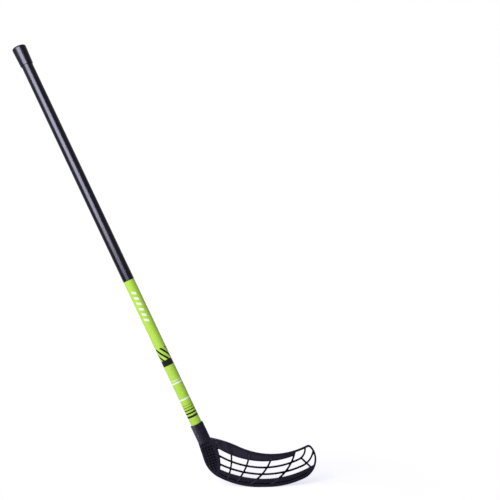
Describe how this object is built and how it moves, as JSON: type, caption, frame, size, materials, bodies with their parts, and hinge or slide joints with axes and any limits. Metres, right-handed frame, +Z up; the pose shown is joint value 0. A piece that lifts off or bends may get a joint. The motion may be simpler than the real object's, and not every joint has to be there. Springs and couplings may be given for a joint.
{
  "type": "floorball stick",
  "caption": "Floorball stick: hollow round shaft with a printed lower sleeve, a long smooth grip, a flared end cap and a hooked moulded blade with an open rib grid.",
  "frame": {"origin": "middle of the flat of the sole, where the stick meets the floor, in the plane of the shaft's axis", "axes": "+X from heel to toe, +Y towards the hollow side of the hooked blade, +Z up. The shaft leans 25.3 degrees from +Z towards -X, in the plane Y = 0"},
  "size_m": [0.6967, 0.0449, 1.0119],
  "materials": {
    "tube": "glass-fibre composite, satin black",
    "film": "glossy lime green print",
    "grip": "smooth satin black",
    "cap": "smooth satin black",
    "blade": "moulded, matte charcoal",
    "screws": "zinc plated"
  },
  "bodies": {
    "root": {"shaft_tube": "tube", "shaft_film": "film", "grip_sleeve": "grip", "end_cap": "cap", "blade": "blade", "blade_screws": "screws"}
  },
  "joints": []
}
